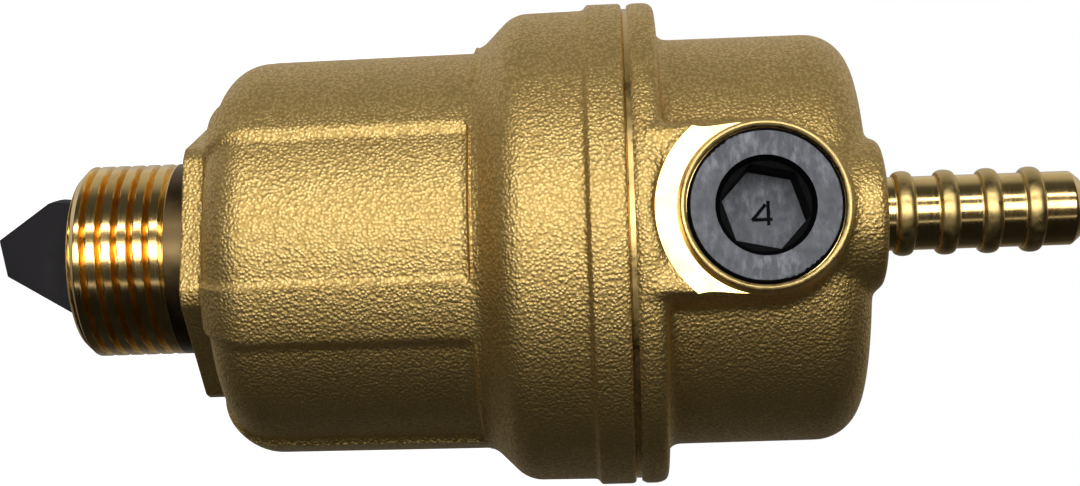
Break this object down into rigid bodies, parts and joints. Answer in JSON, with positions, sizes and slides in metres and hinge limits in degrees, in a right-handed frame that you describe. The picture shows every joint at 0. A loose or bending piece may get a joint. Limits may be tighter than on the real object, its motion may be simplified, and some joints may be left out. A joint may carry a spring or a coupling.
{
  "type": "automatic air vent",
  "caption": "Cast brass automatic air vent with a male inlet thread, a float chamber, a side plug with a hexagon socket, a beaded hose tail and a lever valve inside.",
  "frame": {"origin": "centre of the inlet at the seat face under the hexagon", "axes": "+Z along the main axis, from the inlet thread to the hose tail; -Y towards the side plug; +X completes a right-handed frame"},
  "size_m": [0.0414, 0.0415, 0.09],
  "materials": {
    "cast_brass": "shot-blasted casting, fine sparkle, machined faces bright",
    "turned_brass": "turned, polished",
    "plug_plastic": "glass-filled, worn dark grey",
    "tongue_plastic": "matte black",
    "float_plastic": "natural, satin",
    "seal_rubber": "matte black",
    "stainless": "rolled sheet, satin"
  },
  "bodies": {
    "casing": {"lower_body": "cast_brass", "cover": "cast_brass", "cover_seal": "seal_rubber", "hose_tail": "turned_brass", "hose_tail_seal": "seal_rubber", "side_plug": "plug_plastic", "side_plug_seal": "seal_rubber", "seat_cartridge": "turned_brass", "cartridge_seal": "seal_rubber", "seat_nozzle": "stainless", "lever_bracket": "stainless", "bracket_screws": "stainless", "lever_pin": "stainless", "pin_clips": "stainless"},
    "float": {"float_shell": "float_plastic", "float_lid": "float_plastic", "float_hook": "stainless", "float_tongue": "tongue_plastic"},
    "lever": {"valve_lever": "stainless", "valve_pad": "seal_rubber"}
  },
  "joints": [
    {"name": "float_travel", "type": "slide", "parent": "casing", "child": "float", "axis": [0, 0, 1], "range_m": [0, 0.002]},
    {"name": "lever_swing", "type": "hinge", "parent": "casing", "child": "lever", "pos_m": [0, -0.0065, 0.0425], "axis": [1, 0, 0], "range_deg": [0, 13.6]}
  ],
  "couplings": [
    {"joint": "lever_swing", "follows": "float_travel", "rad_per_m": 117.65}
  ]
}
